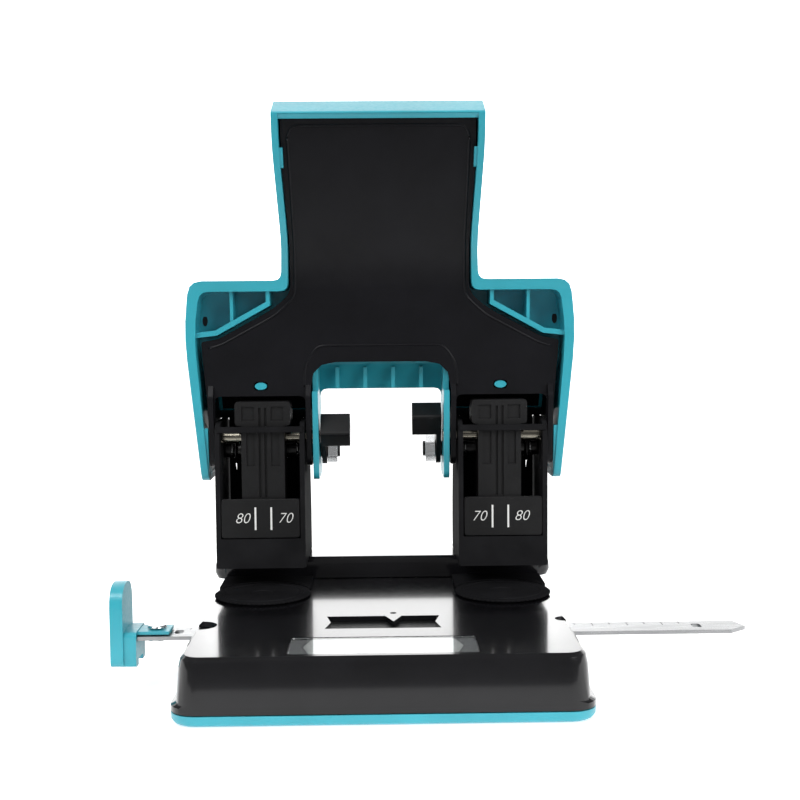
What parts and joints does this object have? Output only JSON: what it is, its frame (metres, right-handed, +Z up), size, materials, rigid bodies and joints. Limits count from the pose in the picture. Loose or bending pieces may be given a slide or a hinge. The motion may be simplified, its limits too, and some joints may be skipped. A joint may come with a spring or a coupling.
{
  "type": "hole punch",
  "caption": "Heavy-duty desk punch for filing holes: low steel base, raised T-shaped lever handle, adjustable punch heads, and a sliding paper guide with an end stop.",
  "frame": {"origin": "middle of the base's underside, on the floor", "axes": "+X to the right along the base and the paper guide, +Y towards the back, away from where the paper goes in, +Z up"},
  "size_m": [0.1789, 0.1236, 0.1688],
  "materials": {
    "teal_plastic": "satin moulded plastic",
    "black_paint": "glossy black paint on pressed steel",
    "black_plastic": "fine moulded texture",
    "steel": "bright plated steel",
    "rubber": "matte",
    "card": "white card",
    "clear_window": "clear plastic sheet"
  },
  "bodies": {
    "base": {"base_plate": "black_paint", "rear_bridge": "black_paint", "label_card": "card", "label_window": "clear_window", "guide_channel": "steel", "left_tower_frame": "black_paint", "left_scale_plate": "black_plastic", "left_disc_holder": "black_plastic", "left_pivot_pin": "steel", "left_pivot_clip": "steel", "left_tower_screw_1": "steel", "left_tower_screw_2": "steel", "left_lever_nut": "steel", "right_tower_frame": "black_paint", "right_scale_plate": "black_plastic", "right_disc_holder": "black_plastic", "right_pivot_pin": "steel", "right_pivot_clip": "steel", "right_tower_screw_1": "steel", "right_tower_screw_2": "steel", "right_lever_nut": "steel"},
    "tray": {"chip_tray": "teal_plastic", "foot_1": "rubber", "foot_2": "rubber", "foot_3": "rubber", "foot_4": "rubber"},
    "paper_guide": {"guide_ruler": "steel", "guide_end_stop": "teal_plastic", "end_stop_rivet": "steel"},
    "handle": {"handle_cover": "teal_plastic", "handle_plate": "black_paint", "left_drive_shaft": "steel", "right_drive_shaft": "steel"},
    "left_shuttle": {"left_guide_block": "black_plastic"},
    "left_punch": {"left_punch_carrier": "black_plastic", "left_punch_pin": "steel", "left_return_spring": "steel"},
    "left_disc": {"left_cutting_disc": "black_plastic"},
    "left_lever": {"left_lock_lever": "black_plastic"},
    "right_shuttle": {"right_guide_block": "black_plastic"},
    "right_punch": {"right_punch_carrier": "black_plastic", "right_punch_pin": "steel", "right_return_spring": "steel"},
    "right_disc": {"right_cutting_disc": "black_plastic"},
    "right_lever": {"right_lock_lever": "black_plastic"}
  },
  "joints": [
    {"name": "handle_pivot", "type": "hinge", "parent": "base", "child": "handle", "pos_m": [0, 0.0285, 0.0615], "axis": [1, 0, 0], "range_deg": [0, 50], "stiffness_Nm_per_rad": 0.3, "springref_deg": -20.05},
    {"name": "guide_slide", "type": "slide", "parent": "base", "child": "paper_guide", "axis": [1, 0, 0], "range_m": [-0.045, 0.005]},
    {"name": "tray_hinge", "type": "hinge", "parent": "base", "child": "tray", "pos_m": [0, 0.0581, 0.003], "axis": [1, 0, 0], "range_deg": [0, 60]},
    {"name": "left_spacing", "type": "slide", "parent": "base", "child": "left_shuttle", "axis": [1, 0, 0], "range_m": [-0.0025, 0.0025]},
    {"name": "left_punch_travel", "type": "slide", "parent": "left_shuttle", "child": "left_punch", "axis": [0, 0, -1], "range_m": [0, 0.0095], "deforming": ["left_return_spring"]},
    {"name": "left_disc_turn", "type": "hinge", "parent": "base", "child": "left_disc", "pos_m": [-0.0375, 0.0059, 0.0188], "axis": [0, 0, 1], "continuous": true},
    {"name": "left_lever_turn", "type": "hinge", "parent": "base", "child": "left_lever", "pos_m": [0, 0.0285, 0.0615], "axis": [1, 0, 0], "range_deg": [-25, 25]},
    {"name": "right_spacing", "type": "slide", "parent": "base", "child": "right_shuttle", "axis": [1, 0, 0], "range_m": [-0.0025, 0.0025]},
    {"name": "right_punch_travel", "type": "slide", "parent": "right_shuttle", "child": "right_punch", "axis": [0, 0, -1], "range_m": [0, 0.0095], "deforming": ["right_return_spring"]},
    {"name": "right_disc_turn", "type": "hinge", "parent": "base", "child": "right_disc", "pos_m": [0.0375, 0.0059, 0.0188], "axis": [0, 0, 1], "continuous": true},
    {"name": "right_lever_turn", "type": "hinge", "parent": "base", "child": "right_lever", "pos_m": [0, 0.0285, 0.0615], "axis": [1, 0, 0], "range_deg": [-25, 25]}
  ],
  "couplings": [
    {"joint": "left_punch_travel", "follows": "handle_pivot", "m_per_rad": 0.01046},
    {"joint": "right_punch_travel", "follows": "handle_pivot", "m_per_rad": 0.01046}
  ]
}
